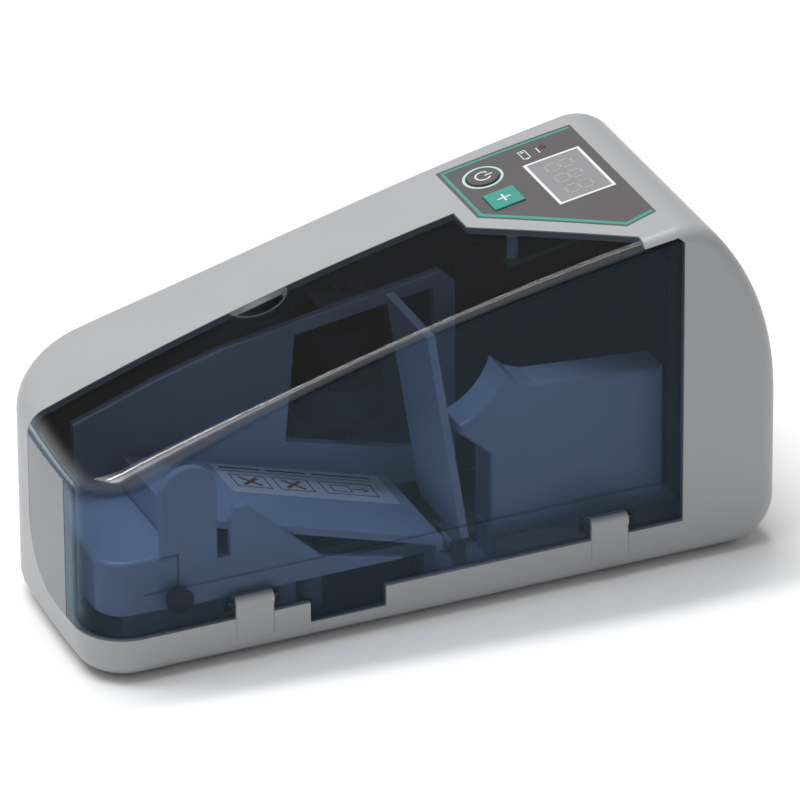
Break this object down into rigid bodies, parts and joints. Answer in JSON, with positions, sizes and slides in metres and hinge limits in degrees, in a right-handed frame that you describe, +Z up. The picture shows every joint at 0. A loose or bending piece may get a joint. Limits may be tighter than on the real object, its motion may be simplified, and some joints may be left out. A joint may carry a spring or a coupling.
{
  "type": "banknote counting machine",
  "caption": "Portable wedge-shaped banknote counter with a hinged smoked window, note hopper, feed roller, control keys and a digit display.",
  "frame": {"origin": "middle of the footprint on the table", "axes": "+X towards the tall display end, -Y towards the window side, +Z up"},
  "size_m": [0.226, 0.0888, 0.1148],
  "materials": {
    "housing_plastic": "fine satin texture",
    "panel_plastic": "fine satin texture",
    "inner_plastic": "satin",
    "dark_plastic": "satin",
    "black_plastic": "satin",
    "smoked_clear": "polished",
    "display_glass": "polished",
    "silver_trim": "satin",
    "overlay_print": "fine matt film",
    "key_dark": "fine matt film",
    "key_teal": "fine matt film",
    "led_red": "polished",
    "board_green": "solder mask",
    "module_grey": "satin",
    "chip_black": "satin",
    "zinc_steel": "plated",
    "bright_steel": "ground",
    "bearing_brass": "turned",
    "foot_rubber": "matt",
    "tyre_rubber": "matt",
    "cell_wrap": "printed sleeve",
    "keeper_dark": "dark plated",
    "label_film": "paper film"
  },
  "bodies": {
    "body": {"base_plate": "housing_plastic", "base_screws": "zinc_steel", "battery_cells": "cell_wrap", "battery_contacts": "bright_steel", "battery_springs": "bright_steel", "battery_tray": "inner_plastic", "bearing_bracket": "inner_plastic", "board_chips": "chip_black", "board_posts": "inner_plastic", "board_standoffs": "inner_plastic", "button_switches": "chip_black", "control_overlay": "overlay_print", "count_emitter": "chip_black", "count_receiver": "chip_black", "dark_bulkhead": "dark_plastic", "delivery_block": "inner_plastic", "display_board": "board_green", "display_frame": "silver_trim", "display_lens": "display_glass", "display_module": "module_grey", "drive_belt": "tyre_rubber", "front_guide": "inner_plastic", "guide_tongue": "inner_plastic", "hinge_clip_left": "housing_plastic", "hinge_clip_right": "housing_plastic", "hinge_pin_left": "bright_steel", "hinge_pin_right": "bright_steel", "hopper_floor": "inner_plastic", "housing": "housing_plastic", "inlet_pin": "bright_steel", "inner_frame": "inner_plastic", "instruction_label": "label_film", "latch_magnet": "keeper_dark", "low_battery_led": "led_red", "main_board": "board_green", "motor": "zinc_steel", "nose_block": "inner_plastic", "nose_panel": "panel_plastic", "power_inlet": "black_plastic", "presser_bracket": "zinc_steel", "presser_pin": "bright_steel", "presser_spring": "bright_steel", "rear_wall": "inner_plastic", "rubber_feet": "foot_rubber", "shaft_bearings": "bearing_brass"},
    "cover": {"clear_cover": "smoked_clear", "latch_keeper": "keeper_dark"},
    "start_key": {"start_button": "key_dark"},
    "add_key": {"add_button": "key_teal"},
    "presser": {"note_presser": "inner_plastic"},
    "feed_rotor": {"feed_shaft": "bright_steel", "feed_hubs": "black_plastic", "feed_tyres": "tyre_rubber", "feed_pulley": "black_plastic"},
    "motor_rotor": {"motor_shaft": "bright_steel", "motor_pulley": "bearing_brass"},
    "door": {"battery_door": "housing_plastic"}
  },
  "joints": [
    {"name": "cover_hinge", "type": "hinge", "parent": "body", "child": "cover", "pos_m": [0, -0.0418, 0.0195], "axis": [1, 0, 0], "range_deg": [0, 92]},
    {"name": "start_press", "type": "slide", "parent": "body", "child": "start_key", "axis": [0, 0, -1], "range_m": [0, 0.0006], "stiffness_N_per_m": 600},
    {"name": "add_press", "type": "slide", "parent": "body", "child": "add_key", "axis": [0, 0, -1], "range_m": [0, 0.0006], "stiffness_N_per_m": 600},
    {"name": "presser_tilt", "type": "hinge", "parent": "body", "child": "presser", "pos_m": [0.0122, 0, 0.014], "axis": [0, -1, 0], "range_deg": [-3, 20], "stiffness_Nm_per_rad": 0.02},
    {"name": "feed_spin", "type": "hinge", "parent": "body", "child": "feed_rotor", "pos_m": [-0.006, 0.0205, 0.04], "axis": [0, 0, 1], "continuous": true},
    {"name": "motor_spin", "type": "hinge", "parent": "body", "child": "motor_rotor", "pos_m": [0.052, 0.027, 0.012], "axis": [0, 0, 1], "continuous": true},
    {"name": "door_hinge", "type": "hinge", "parent": "body", "child": "door", "pos_m": [-0.0448, 0, 0.0018], "axis": [0, -1, 0], "range_deg": [0, 90]}
  ],
  "couplings": [
    {"joint": "motor_spin", "follows": "feed_spin", "ratio": 2.7021}
  ]
}
